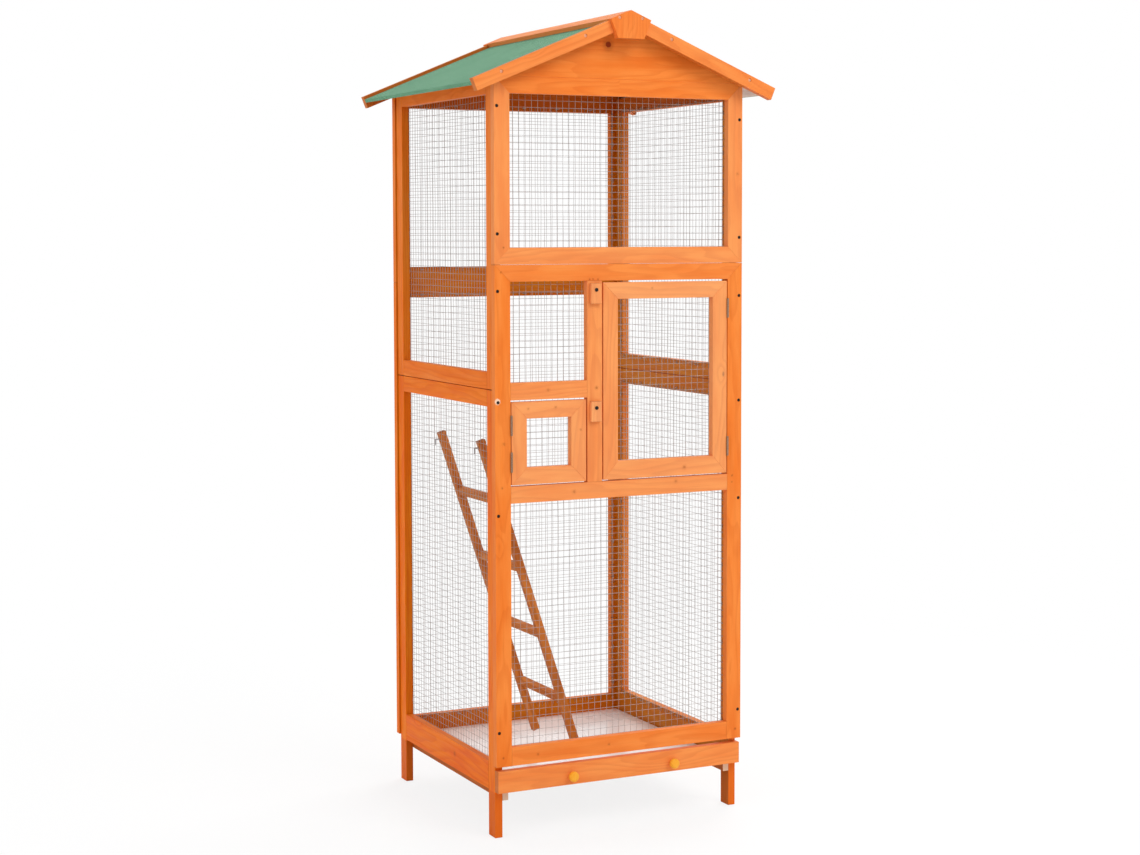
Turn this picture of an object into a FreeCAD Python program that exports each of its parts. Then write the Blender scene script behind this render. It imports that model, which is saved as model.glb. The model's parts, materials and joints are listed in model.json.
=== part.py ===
import FreeCAD, Part
import math
import os
import re
import Sketcher
from FreeCAD import Placement, Rotation, Vector

# A tall bird cage of stained softwood and welded net, on four legs, under a felted pitched roof.
# It has a large and a small hinged door with turn buttons, a drawer with a tray, and a ladder.
# The origin is on the floor at the middle of the cage: X right, Y to the back, Z up, millimetres.

sizes = {
    # the box of the cage
    "cage_width": 562.0,
    "cage_depth": 546.0,
    "wall_height": 1515.5,
    "timber": 16.0,
    "stile_width": 33.5,
    "leg_width": 32.0,
    "side_inset": 3.5,
    # front panels
    "front_seam_height": 1146.7,
    "door_sill_height": 707.5,
    "front_base_height": 184.0,
    "front_base_rail_width": 37.0,
    "divider_offset": 61.5,
    "divider_width": 33.0,
    "lintel_height": 879.0,
    "lintel_width": 34.3,
    "gable_inset": 2.0,
    # side and back panels
    "side_seam_height": 899.0,
    "side_base_height": 150.0,
    "side_base_rail_width": 56.5,
    "back_seam_height": 1101.7,
    "back_base_height": 136.6,
    # doors
    "door_stile_width": 33.5,
    "large_door_sill_width": 36.8,
    "door_top_gap": 3.8,
    "door_bottom_gap": 2.8,
    "door_latch_gap": 2.9,
    "door_hinge_gap": 2.0,
    # hinges
    "hinge_length": 40.0,
    "large_hinge_end": 36.0,
    "small_hinge_end": 26.0,
    "hinge_leaf_width": 12.0,
    "hinge_leaf_thickness": 0.9,
    "knuckle_radius": 2.2,
    "knuckle_gap": 0.25,
    "hinge_pin_radius": 1.0,
    "hinge_pin_gap": 0.1,
    # turn buttons and their screws
    "button_length": 41.0,
    "button_width": 23.0,
    "button_thickness": 8.0,
    "button_pivot_end": 13.0,
    "button_gap": 0.3,
    "button_bore_gap": 0.1,
    "large_button_drop": 18.0,
    "small_button_drop": 21.0,
    "button_screw_radius": 1.8,
    "button_screw_grip": 12.0,
    "button_head_radius": 4.0,
    "button_head_thickness": 1.6,
    # countersunk wood screws
    "wood_screw_radius": 3.5,
    "wood_screw_sink": 1.0,
    "wood_screw_inset": 6.5,
    # drawer, tray and runners
    "drawer_base_height": 94.0,
    "drawer_front_height": 44.0,
    "drawer_end_inset": 3.0,
    "drawer_stop_gap": 0.3,
    "tray_top_height": 101.0,
    "tray_thickness": 3.0,
    "tray_side_gap": 2.5,
    "tray_back_gap": 2.0,
    "tray_groove_depth": 6.0,
    "tray_slide_gap": 0.3,
    "runner_width": 13.0,
    "runner_depth": 23.2,
    "knob_spread": 232.0,
    "knob_height": 113.0,
    "knob_neck_radius": 5.5,
    "knob_neck_length": 6.0,
    "knob_head_radius": 10.5,
    "knob_head_length": 12.0,
    "knob_edge": 3.5,
    # nets
    "net_pitch": 13.8,
    "net_wire": 1.2,
    "net_thickness": 1.0,
    "net_overlap": 10.0,
    # ladder on the left net
    "ladder_length": 700.0,
    "ladder_lean_degrees": 18.3,
    "ladder_front_inset": 132.0,
    "ladder_rail_width": 13.0,
    "ladder_rail_thickness": 16.0,
    "ladder_inner_width": 195.0,
    "ladder_first_rung": 134.0,
    "ladder_rung_step": 148.7,
    "ladder_rung_side": 15.0,
    "ladder_net_gap": 0.3,
    "hook_radius": 1.2,
    "hook_grip": 8.0,
    "hook_reach": 4.0,
    "hook_drop": 12.0,
    "hook_below_top": 13.2,
    # roof
    "roof_slope_degrees": 22.5,
    "roof_run": 369.3,
    "roof_overhang": 18.0,
    "roof_board_thickness": 6.0,
    "felt_thickness": 1.5,
    "ridge_cap_run": 46.5,
    "ridge_cap_thickness": 9.0,
    "ridge_cap_overhang": 26.0,
    "barge_drop": 2.8,
    "barge_width": 26.0,
    "barge_thickness": 15.0,
    "barge_screw_drop": 12.5,
    "barge_upper_screw": 110.0,
    "barge_lower_screw": 307.0,
    "plate_run": 48.7,
    "plate_depth": 41.2,
    "plate_thickness": 16.0,
    "plate_screw_spread": 51.0,
    "plate_screw_drop": 14.5,
}

# Screws along each front stile, as shares of its length from its foot
upper_left_screw_shares = (0.164, 0.841)
upper_right_screw_shares = (0.142, 0.799)
lower_left_screw_shares = (0.069, 0.504, 0.729, 0.948)
lower_right_screw_shares = (0.061, 0.509, 0.714, 0.932)

ladder_rung_count = 4
# Net wires of real pitch from the foot of the lower left net up to the wire that carries the hooks
hook_wire_count = 45

# Places worked out from the sizes
places = {
    "half_width": "cage_width / 2",
    "front_face": "-cage_depth / 2",
    "front_inner": "-cage_depth / 2 + timber",
    "back_face": "cage_depth / 2",
    "back_inner": "cage_depth / 2 - timber",
    "side_outer": "cage_width / 2 - side_inset",
    "side_inner": "cage_width / 2 - side_inset - timber",
    "leg_inner": "cage_depth / 2 - timber - leg_width",
    "opening_edge": "cage_width / 2 - stile_width",
    "wall_opening_top": "wall_height - stile_width",
    "front_stile_foot": "front_base_height - front_base_rail_width",
    "lower_opening_top": "front_seam_height - stile_width",
    "divider_left": "-divider_offset - divider_width / 2",
    "divider_right": "-divider_offset + divider_width / 2",
    "door_foot": "door_sill_height + door_bottom_gap",
    "large_door_left": "divider_right + door_latch_gap",
    "large_door_right": "opening_edge - door_hinge_gap",
    "large_door_top": "lower_opening_top - door_top_gap",
    "small_door_left": "-opening_edge + door_hinge_gap",
    "small_door_right": "divider_left - door_latch_gap",
    "small_door_top": "lintel_height - door_top_gap",
    "hinge_y": "front_face - knuckle_gap - knuckle_radius",
    "large_hinge_x": "opening_edge - door_hinge_gap / 2",
    "small_hinge_x": "-opening_edge + door_hinge_gap / 2",
    "button_back": "front_face - button_gap",
    "large_button_z": "lower_opening_top - large_button_drop",
    "small_button_z": "lintel_height - small_button_drop",
    "drawer_front_face": "front_face - drawer_stop_gap",
    "drawer_front_back": "front_inner - drawer_stop_gap",
    "tray_foot": "tray_top_height - tray_thickness",
    "runner_top": "tray_top_height - tray_thickness - tray_slide_gap",
    "ladder_net_face": "-side_inner + net_thickness",
    "hook_z": "side_base_height + hook_wires * net_pitch + net_wire / 2 + hook_radius",
    "ladder_top_x": "ladder_net_face + ladder_net_gap",
    "ladder_top_z": "hook_z + hook_below_top",
    "ladder_foot_x": "ladder_top_x + ladder_length * sin(ladder_lean_degrees)",
    "ladder_foot_z": "ladder_top_z - ladder_length * cos(ladder_lean_degrees)",
    "felt_top": "ridge_cap_thickness",
    "felt_foot": "ridge_cap_thickness + felt_thickness",
    "roof_foot": "ridge_cap_thickness + felt_thickness + roof_board_thickness",
    "ridge_top": "wall_height + half_width * tan(roof_slope_degrees) + roof_foot / cos(roof_slope_degrees)",
    "barge_front": "front_face - roof_overhang - barge_thickness",
    "plate_front": "front_face - ridge_cap_overhang - plate_thickness",
}

doc = FreeCAD.newDocument("bird_cage")
sheet = doc.addObject("Spreadsheet::Sheet", "Sizes")
for row, (word, value) in enumerate([*sizes.items(), ("hook_wires", hook_wire_count)], 1):
    sheet.set(f"A{row}", word)
    sheet.set(f"B{row}", str(value))
    sheet.setAlias(f"B{row}", word)
doc.recompute()

nodes = []


def sized(text):
    # Turns names of sizes and places in a formula into references to the sheet.
    def swap(match):
        word = match.group()
        if word in places:
            return "(" + sized(places[word]) + ")"
        if word in sizes or word == "hook_wires":
            return "Sizes." + word
        return word
    return re.sub(r"[a-z][a-z_]*", swap, str(text))


def number(word):
    # One size, as the sheet holds it.
    return float(sheet.get(word))


def node(piece, name):
    # Marks a finished object as a sub-part with a file of its own.
    piece.Label = name
    nodes.append(piece)
    return piece


def put(piece, x, y, z):
    piece.setExpression("Placement.Base.x", sized(x))
    piece.setExpression("Placement.Base.y", sized(y))
    piece.setExpression("Placement.Base.z", sized(z))
    return piece


def box(name, x, y, z):
    # A straight timber or plate between two corners, each given as formulas.
    piece = doc.addObject("Part::Box", name)
    for side, (low, high) in zip(("Length", "Width", "Height"), (x, y, z)):
        piece.setExpression(side, sized(f"({high}) - ({low})"))
    return put(piece, x[0], y[0], z[0])


turns = {
    "x": Rotation(Vector(0, 1, 0), 90),
    "y": Rotation(Vector(1, 0, 0), -90),
    "z": Rotation(),
}


def rod(name, axis, radius, length, x, y, z):
    piece = doc.addObject("Part::Cylinder", name)
    piece.Placement = Placement(Vector(), turns[axis])
    piece.setExpression("Radius", sized(radius))
    piece.setExpression("Height", sized(length))
    return put(piece, x, y, z)


def group(name, pieces):
    piece = doc.addObject("Part::Compound", name)
    piece.Links = pieces
    return piece


def fused(name, pieces):
    piece = doc.addObject("Part::MultiFuse", name)
    piece.Shapes = pieces
    return piece


def cut(name, base, tool):
    piece = doc.addObject("Part::Cut", name)
    piece.Base = base
    piece.Tool = tool
    return piece


def hold_point(sketch, shape, end, point):
    # Fixes a point of the sketch at two formulas, across and up.
    place = sketch.getPoint(shape, end)
    for kind, start, text in zip(("DistanceX", "DistanceY"), (place.x, place.y), point):
        index = sketch.addConstraint(Sketcher.Constraint(kind, -1, 1, shape, end, start))
        sketch.setExpression(f"Constraints[{index}]", sized(text))


def drawn(body, name, plane, points, holes=()):
    # A closed outline with straight sides, and round holes as (across, up, radius).
    sketch = body.newObject("Sketcher::SketchObject", name)
    support = [item for item in body.Origin.OriginFeatures if item.Role == plane]
    sketch.AttachmentSupport = [(support[0], "")]
    sketch.MapMode = "FlatFace"
    count = len(points)
    corners = []
    for index in range(count):
        angle = 2 * math.pi * index / count
        corners.append(Vector(math.cos(angle), math.sin(angle), 0))
    for index in range(count):
        sketch.addGeometry(Part.LineSegment(corners[index], corners[(index + 1) % count]), False)
    for index in range(count):
        sketch.addConstraint(Sketcher.Constraint("Coincident", index, 2, (index + 1) % count, 1))
    for index, point in enumerate(points):
        hold_point(sketch, index, 1, point)
    for across, up, radius in holes:
        ring = sketch.addGeometry(Part.Circle(Vector(), Vector(0, 0, 1), 1), False)
        hold_point(sketch, ring, 3, (across, up))
        index = sketch.addConstraint(Sketcher.Constraint("Radius", ring, 1))
        sketch.setExpression(f"Constraints[{index}]", sized(radius))
    return sketch


def board(name, points, front, thickness, holes=()):
    # A flat piece drawn as it is seen from the front, from its front face back.
    body = doc.addObject("PartDesign::Body", name)
    sketch = drawn(body, name + "_outline", "XZ_Plane", points, holes)
    pad = body.newObject("PartDesign::Pad", name + "_pad")
    pad.Profile = sketch
    pad.setExpression("Length", sized(thickness))
    body.setExpression("Placement.Base.y", sized(f"({front}) + ({thickness})"))
    return body


def rectangle(x, z):
    return [(x[0], z[0]), (x[1], z[0]), (x[1], z[1]), (x[0], z[1])]


def frame_rail(name, x, outer, inner, front, mitre="stile_width"):
    # A rail whose ends are mitred, wide at its outer edge and short at its inner one.
    points = [(x[0], outer), (x[1], outer), (f"({x[1]}) - {mitre}", inner), (f"({x[0]}) + {mitre}", inner)]
    return board(name, points, front, "timber")


def screw_places(side, foot, top, shares):
    # Places up a stile, a set distance in from the outer edge.
    across = f"{side} * (half_width - wood_screw_inset)"
    return [(across, f"({foot}) + {share} * (({top}) - ({foot}))") for share in shares]


def wood_screw(name, place, front, thickness):
    # A countersunk screw, sunk below the face and filling its hole.
    across, up = place
    length = f"({thickness}) - wood_screw_sink"
    return rod(name, "y", "wood_screw_radius", length, across, f"({front}) + wood_screw_sink", up)


def drilled(places_list):
    return [(across, up, "wood_screw_radius") for across, up in places_list]


# Front panels


def front_stile(name, side, foot, top, low_mitre, screws):
    # An upright whose upper end, and lower end where it meets a mitred rail, is mitred.
    outer = f"{side} * half_width"
    inner = f"{side} * opening_edge"
    inner_foot = f"({foot}) + stile_width" if low_mitre else foot
    points = [(outer, foot), (inner, inner_foot), (inner, f"({top}) - stile_width"), (outer, top)]
    return node(board(name, points, "front_face", "timber", drilled(screws)), name)


def front_panels():
    screws = []
    width = ("-half_width", "half_width")
    inside = ("-opening_edge", "opening_edge")
    rows = (
        ("front_upper_left_stile", -1, "front_seam_height", "wall_height", True, upper_left_screw_shares),
        ("front_upper_right_stile", 1, "front_seam_height", "wall_height", True, upper_right_screw_shares),
        ("front_lower_left_stile", -1, "front_stile_foot", "front_seam_height", False,
         lower_left_screw_shares),
        ("front_lower_right_stile", 1, "front_stile_foot", "front_seam_height", False,
         lower_right_screw_shares),
    )
    for name, side, foot, top, low_mitre, shares in rows:
        holes = screw_places(side, foot, top, shares)
        front_stile(name, side, foot, top, low_mitre, holes)
        for index, place in enumerate(holes):
            screws.append(wood_screw(f"{name}_screw_{index}", place, "front_face", "timber"))
    node(group("front_screw_group", screws), "front_screws")

    top_rail = frame_rail("front_upper_top_rail", width, "wall_height", "wall_opening_top", "front_face")
    node(top_rail, "front_upper_top_rail")
    low_rail = frame_rail("front_upper_bottom_rail", width, "front_seam_height",
                          "front_seam_height + stile_width", "front_face")
    node(low_rail, "front_upper_bottom_rail")
    lower_rail = frame_rail("front_lower_top_rail", width, "front_seam_height", "lower_opening_top",
                            "front_face")
    node(lower_rail, "front_lower_top_rail")

    depth = ("front_face", "front_inner")
    mid = box("front_mid_rail", inside, depth, ("door_sill_height - stile_width", "door_sill_height"))
    node(mid, "front_mid_rail")
    base = box("front_bottom_rail", inside, depth, ("front_stile_foot", "front_base_height"))
    node(base, "front_bottom_rail")

    pivots = [("-divider_offset", "large_button_z", "button_screw_radius"),
              ("-divider_offset", "small_button_z", "button_screw_radius")]
    upright = rectangle(("divider_left", "divider_right"), ("door_sill_height", "lower_opening_top"))
    node(board("door_divider", upright, "front_face", "timber", pivots), "door_divider")
    lintel = box("small_door_lintel", ("-opening_edge", "divider_left"), depth,
                 ("lintel_height", "lintel_height + lintel_width"))
    node(lintel, "small_door_lintel")


def gable_boards():
    # The triangles between the top rails and the roof boards.
    reach = "(half_width - gable_inset)"
    points = [(f"-{reach}", "wall_height"), (reach, "wall_height"),
              ("0", f"wall_height + {reach} * tan(roof_slope_degrees)")]
    node(board("front_gable_board", points, "front_face", "timber"), "front_gable_board")
    node(board("back_gable_board", points, "back_inner", "timber"), "back_gable_board")


# Side and back panels


def side_frames():
    # Each side is a lower frame on two legs and an upper frame on top of it.
    for word, side in (("left", -1), ("right", 1)):
        low, high = ("-side_outer", "-side_inner") if side < 0 else ("side_inner", "side_outer")
        across = (low, high)
        front = ("front_inner", "-leg_inner")
        rear = ("leg_inner", "back_inner")
        between = ("-leg_inner", "leg_inner")
        seam = "side_seam_height"
        lower = [
            box(f"{word}_front_leg", across, front, ("0", seam)),
            box(f"{word}_rear_leg", across, rear, ("0", seam)),
            box(f"{word}_lower_top_rail", across, between, (f"{seam} - stile_width", seam)),
            box(f"{word}_base_rail", across, between,
                ("side_base_height - side_base_rail_width", "side_base_height")),
        ]
        upper = [
            box(f"{word}_front_stile", across, front, (seam, "wall_height")),
            box(f"{word}_rear_stile", across, rear, (seam, "wall_height")),
            box(f"{word}_top_rail", across, between, ("wall_opening_top", "wall_height")),
            box(f"{word}_upper_foot_rail", across, between, (seam, f"{seam} + stile_width")),
        ]
        node(group(f"{word}_lower_group", lower), f"{word}_lower_frame")
        node(group(f"{word}_upper_group", upper), f"{word}_upper_frame")


def back_frames():
    depth = ("back_inner", "back_face")
    inside = ("-opening_edge", "opening_edge")
    left = ("-half_width", "-opening_edge")
    right = ("opening_edge", "half_width")
    foot = "back_base_height - front_base_rail_width"
    seam = "back_seam_height"
    lower = [
        box("back_lower_left_stile", left, depth, (foot, seam)),
        box("back_lower_right_stile", right, depth, (foot, seam)),
        box("back_lower_top_rail", inside, depth, (f"{seam} - stile_width", seam)),
        box("back_base_rail", inside, depth, (foot, "back_base_height")),
    ]
    upper = [
        box("back_upper_left_stile", left, depth, (seam, "wall_height")),
        box("back_upper_right_stile", right, depth, (seam, "wall_height")),
        box("back_top_rail", inside, depth, ("wall_opening_top", "wall_height")),
        box("back_upper_foot_rail", inside, depth, (seam, f"{seam} + stile_width")),
    ]
    node(group("back_lower_group", lower), "back_lower_frame")
    node(group("back_upper_group", upper), "back_upper_frame")


# Doors, hinges and turn buttons


def door(word, x, top, sill):
    # A mitred frame: two stiles and two rails, flush with the front panel.
    foot = "door_foot"
    left, right = x
    rail = "door_stile_width"
    stiles = []
    for side, outer, sign in (("left", left, "+"), ("right", right, "-")):
        inner = f"({outer}) {sign} {rail}"
        points = [(outer, foot), (inner, f"{foot} + {sill}"), (inner, f"{top} - {rail}"), (outer, top)]
        stiles.append(board(f"{word}_{side}_stile", points, "front_face", "timber"))
    rails = [
        frame_rail(f"{word}_top_rail", x, top, f"{top} - {rail}", "front_face", rail),
        frame_rail(f"{word}_foot_rail", x, foot, f"{foot} + {sill}", "front_face", rail),
    ]
    node(group(f"{word}_stile_group", stiles), f"{word}_stiles")
    node(group(f"{word}_rail_group", rails), f"{word}_rails")


def leaf(name, plate, x, foot, parts):
    # A hinge leaf: a thin plate in the door's gap with its own shares of the knuckle.
    shapes = [box(f"{name}_plate", plate, ("front_face", "front_face + hinge_leaf_width"),
                  (foot, f"({foot}) + hinge_length"))]
    for index, (start, end) in enumerate(parts):
        low = f"({foot}) + hinge_length * {start} / 3 + knuckle_gap / 2"
        length = f"hinge_length * ({end} - {start}) / 3 - knuckle_gap"
        shapes.append(rod(f"{name}_knuckle_{index}", "z", "knuckle_radius", length, x, "hinge_y", low))
        shapes.append(box(f"{name}_tab_{index}", plate, ("hinge_y", "front_face"),
                          (low, f"{low} + {length}")))
    bore = rod(f"{name}_bore", "z", "hinge_pin_radius + hinge_pin_gap", "hinge_length", x, "hinge_y", foot)
    return cut(name, fused(name + "_whole", shapes), bore)


def hinges():
    # Two butt hinges on each door, their knuckles just in front of the frame.
    frame_leaves = []
    pins = []
    rows = (
        ("large_door", "large_hinge_x", "large_door_top", "large_hinge_end",
         ("opening_edge - hinge_leaf_thickness", "opening_edge"),
         ("large_door_right", "large_door_right + hinge_leaf_thickness")),
        ("small_door", "small_hinge_x", "small_door_top", "small_hinge_end",
         ("-opening_edge", "-opening_edge + hinge_leaf_thickness"),
         ("small_door_left - hinge_leaf_thickness", "small_door_left")),
    )
    for word, x, top, end, frame_plate, door_plate in rows:
        door_leaves = []
        for place, foot in (("upper", f"{top} - {end} - hinge_length"), ("lower", f"door_foot + {end}")):
            name = f"{word}_{place}"
            frame_leaves.append(leaf(name + "_frame_leaf", frame_plate, x, foot, ((0, 1), (2, 3))))
            door_leaves.append(leaf(name + "_door_leaf", door_plate, x, foot, ((1, 2),)))
            pins.append(rod(name + "_pin", "z", "hinge_pin_radius", "hinge_length", x, "hinge_y", foot))
        node(group(f"{word}_leaf_group", door_leaves), f"{word}_hinge_leaves")
    node(group("frame_leaf_group", frame_leaves), "hinge_frame_leaves")
    node(group("pin_group", pins), "hinge_pins")


def turn_buttons():
    # Wooden buttons that hang from their screws beside the doors until they are turned.
    screws = []
    for word, height in (("large_door", "large_button_z"), ("small_door", "small_button_z")):
        x = ("-divider_offset - button_width / 2", "-divider_offset + button_width / 2")
        z = (f"{height} - (button_length - button_pivot_end)", f"{height} + button_pivot_end")
        hole = [("-divider_offset", height, "button_screw_radius + button_bore_gap")]
        front = "button_back - button_thickness"
        button = board(f"{word}_button", rectangle(x, z), front, "button_thickness", hole)
        node(button, f"{word}_button")
        head_back = f"{front} - button_gap"
        shank_length = "button_screw_grip + button_thickness + 2 * button_gap"
        shank = rod(f"{word}_shank", "y", "button_screw_radius", shank_length, "-divider_offset",
                    head_back, height)
        head = rod(f"{word}_head", "y", "button_head_radius", "button_head_thickness", "-divider_offset",
                   f"{head_back} - button_head_thickness", height)
        screws.append(fused(f"{word}_screw", [shank, head]))
    node(group("button_screw_group", screws), "button_screws")


# Drawer and ladder


def drawer():
    # A front board with two knobs, and a tray sheet that slides on two runners.
    ends = "(half_width - drawer_end_inset)"
    tray_half = "(side_inner - tray_side_gap)"
    height = ("drawer_base_height", "drawer_base_height + drawer_front_height")
    face = box("drawer_face", (f"-{ends}", ends), ("drawer_front_face", "drawer_front_back"), height)
    sheet_y = ("drawer_front_back - tray_groove_depth", "back_inner - tray_back_gap")
    sheet_z = ("tray_foot", "tray_top_height")
    tray = box("tray_sheet", (f"-{tray_half}", tray_half), sheet_y, sheet_z)
    groove = box("tray_groove", (f"-{tray_half}", tray_half), (sheet_y[0], "drawer_front_back"), sheet_z)
    node(cut("drawer_board", face, groove), "drawer_front")
    node(tray, "drawer_tray")

    knobs = []
    for word, side in (("left", "-1"), ("right", "1")):
        body = doc.addObject("PartDesign::Body", f"{word}_knob")
        tip = "-(knob_neck_length + knob_head_length)"
        points = [
            ("0", "0"),
            ("knob_neck_radius", "0"),
            ("knob_neck_radius", "-knob_neck_length"),
            ("knob_head_radius", "-knob_neck_length - knob_edge / 2"),
            ("knob_head_radius", f"{tip} + knob_edge"),
            ("knob_head_radius - knob_edge", tip),
            ("0", tip),
        ]
        sketch = drawn(body, f"{word}_knob_profile", "XY_Plane", points)
        turned = body.newObject("PartDesign::Revolution", f"{word}_knob_turned")
        turned.Profile = sketch
        turned.ReferenceAxis = (sketch, ["V_Axis"])
        turned.Angle = 360
        put(body, f"{side} * knob_spread / 2", "drawer_front_face", "knob_height")
        knobs.append(body)
    node(group("knob_group", knobs), "drawer_knobs")

    runners = []
    for word, low, high in (("left", "-side_inner", "-side_inner + runner_width"),
                            ("right", "side_inner - runner_width", "side_inner")):
        runners.append(box(f"{word}_runner", (low, high), ("front_inner", "back_inner"),
                           ("runner_top - runner_depth", "runner_top")))
    node(group("runner_group", runners), "runner_battens")


def leaning(name, along, across, y, length, thickness):
    # A ladder timber. Along and across are the distances of its low corner from the ladder's foot.
    piece = doc.addObject("Part::Box", name)
    piece.Placement = Placement(Vector(), Rotation(Vector(0, -1, 0), 1))
    piece.setExpression("Length", sized(thickness))
    piece.setExpression("Width", sized(f"({y[1]}) - ({y[0]})"))
    piece.setExpression("Height", sized(length))
    piece.setExpression("Placement.Rotation.Angle", sized("ladder_lean_degrees"))
    sine = "sin(ladder_lean_degrees)"
    cosine = "cos(ladder_lean_degrees)"
    x = f"ladder_foot_x - ({along}) * {sine} + ({across}) * {cosine}"
    z = f"ladder_foot_z + ({along}) * {cosine} + ({across}) * {sine}"
    return put(piece, x, y[0], z)


def ladder():
    # A ladder that leans on the left net and hangs there by two wire hooks.
    front = "(front_face + ladder_front_inset)"
    inner = (f"{front} + ladder_rail_width", f"{front} + ladder_rail_width + ladder_inner_width")
    rail_spans = (
        ("front", (front, inner[0])),
        ("rear", (inner[1], f"{inner[1]} + ladder_rail_width")),
    )
    rails = []
    hooks = []
    for word, y in rail_spans:
        rail = leaning(f"{word}_ladder_timber", "0", "0", y, "ladder_length", "ladder_rail_thickness")
        middle = f"{y[0]} + ladder_rail_width / 2"
        tip = "ladder_net_face - net_thickness - hook_reach"
        start = f"ladder_top_x + hook_below_top * tan(ladder_lean_degrees) + hook_grip"
        arm = rod(f"{word}_hook_arm", "x", "hook_radius", f"({start}) - ({tip})", tip, middle, "hook_z")
        drop = rod(f"{word}_hook_drop", "z", "hook_radius", "hook_drop", f"{tip}", middle,
                   "hook_z - hook_drop")
        bend = doc.addObject("Part::Sphere", f"{word}_hook_bend")
        bend.setExpression("Radius", sized("hook_radius"))
        put(bend, tip, middle, "hook_z")
        hooks.append(fused(f"{word}_hook", [arm, bend, drop]))
        rails.append(cut(f"{word}_ladder_rail", rail, arm))
    rungs = []
    for index in range(ladder_rung_count):
        along = (f"ladder_length - ladder_first_rung - {index} * ladder_rung_step"
                 " - ladder_rung_side / 2")
        across = "(ladder_rail_thickness - ladder_rung_side) / 2"
        rungs.append(leaning(f"ladder_rung_{index}", along, across, inner, "ladder_rung_side",
                             "ladder_rung_side"))
    node(group("ladder_rail_group", rails), "ladder_rails")
    node(group("ladder_rung_group", rungs), "ladder_rungs")
    node(group("ladder_hook_group", hooks), "ladder_hooks")


# Roof


def on_roof(side, along, below):
    # A point a distance down the slope from the ridge, and a distance under the ridge caps' top.
    x = f"{side} * (({along}) * cos(roof_slope_degrees) - ({below}) * sin(roof_slope_degrees))"
    z = f"ridge_top - ({along}) * sin(roof_slope_degrees) - ({below}) * cos(roof_slope_degrees)"
    return x, z


def at_ridge(below):
    return "0", f"ridge_top - ({below}) / cos(roof_slope_degrees)"


def roof():
    # Two boards with felt folded over their eaves, and caps along the ridge.
    start = "front_face - roof_overhang"
    length = "cage_depth + 2 * roof_overhang"
    edge = "roof_run - felt_thickness"
    caps = []
    for word, side in (("left", -1), ("right", 1)):
        deck = [at_ridge("felt_foot"), on_roof(side, edge, "felt_foot"),
                on_roof(side, edge, "roof_foot"), at_ridge("roof_foot")]
        node(board(f"{word}_roof_board", deck, start, length), f"{word}_roof_board")
        cover = [at_ridge("felt_top"), on_roof(side, "roof_run", "felt_top"),
                 on_roof(side, "roof_run", "roof_foot"), on_roof(side, edge, "roof_foot"),
                 on_roof(side, edge, "felt_foot"), at_ridge("felt_foot")]
        node(board(f"{word}_roof_felt", cover, start, length), f"{word}_roof_felt")
        strip = [at_ridge("0"), on_roof(side, "ridge_cap_run", "0"),
                 on_roof(side, "ridge_cap_run", "felt_top"), at_ridge("felt_top")]
        caps.append(board(f"{word}_ridge_strip", strip, "front_face - ridge_cap_overhang",
                          "cage_depth + 2 * ridge_cap_overhang"))
    node(group("ridge_cap_group", caps), "ridge_caps")


def roof_trim():
    # Barge boards along both gables, and a plate over each apex.
    screws = []
    foot = "barge_drop + barge_width"
    plate_gap = "plate_screw_drop / cos(roof_slope_degrees)"
    gables = (
        ("front", "barge_front", "plate_front"),
        ("rear", "back_face + roof_overhang", "back_face + ridge_cap_overhang"),
    )
    for gable, barge_start, plate_start in gables:
        barges = []
        for word, side in (("left", -1), ("right", 1)):
            strip = [on_roof(side, "plate_run", "barge_drop"), on_roof(side, "roof_run", "barge_drop"),
                     on_roof(side, "roof_run", foot), on_roof(side, "plate_run", foot)]
            screw_points = [on_roof(side, "barge_upper_screw", "barge_screw_drop"),
                            on_roof(side, "barge_lower_screw", "barge_screw_drop")]
            name = f"{gable}_{word}_barge"
            barges.append(board(name, strip, barge_start, "barge_thickness", drilled(screw_points)))
            for index, place in enumerate(screw_points):
                screws.append(wood_screw(f"{name}_screw_{index}", place, barge_start, "barge_thickness"))
        node(group(f"{gable}_barge_group", barges), f"{gable}_barge_boards")
        outline = [at_ridge("0"), on_roof(1, "plate_run", "0"), on_roof(1, "plate_run", "plate_depth"),
                   on_roof(-1, "plate_run", "plate_depth"), on_roof(-1, "plate_run", "0")]
        screw_points = [(f"{side} * plate_screw_spread / 2", f"ridge_top - {plate_gap}")
                        for side in (-1, 1)]
        plate = board(f"{gable}_plate", outline, plate_start, "plate_thickness", drilled(screw_points))
        node(plate, f"{gable}_apex_plate")
        for index, place in enumerate(screw_points):
            screws.append(wood_screw(f"{gable}_plate_screw_{index}", place, plate_start,
                                     "plate_thickness"))
    node(group("roof_screw_group", screws), "roof_screws")


# Nets


def span(name):
    # The box of a piece that is already made.
    return doc.getObject(name).Shape.BoundBox


def marks(low, high, pitch, wire):
    # The edges of the gaps between wires that stand a pitch apart, from the low side.
    edges = []
    start = low
    while high - start > wire:
        edges.append((start + wire / 2, min(start + pitch, high) - wire / 2))
        start += pitch
    return edges


def ring(first_u, last_u, first_v, last_v):
    corners = ((first_u, first_v), (last_u, first_v), (last_u, last_v), (first_u, last_v))
    return Part.makePolygon([Vector(u, v, 0) for u, v in (*corners, corners[0])])


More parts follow.
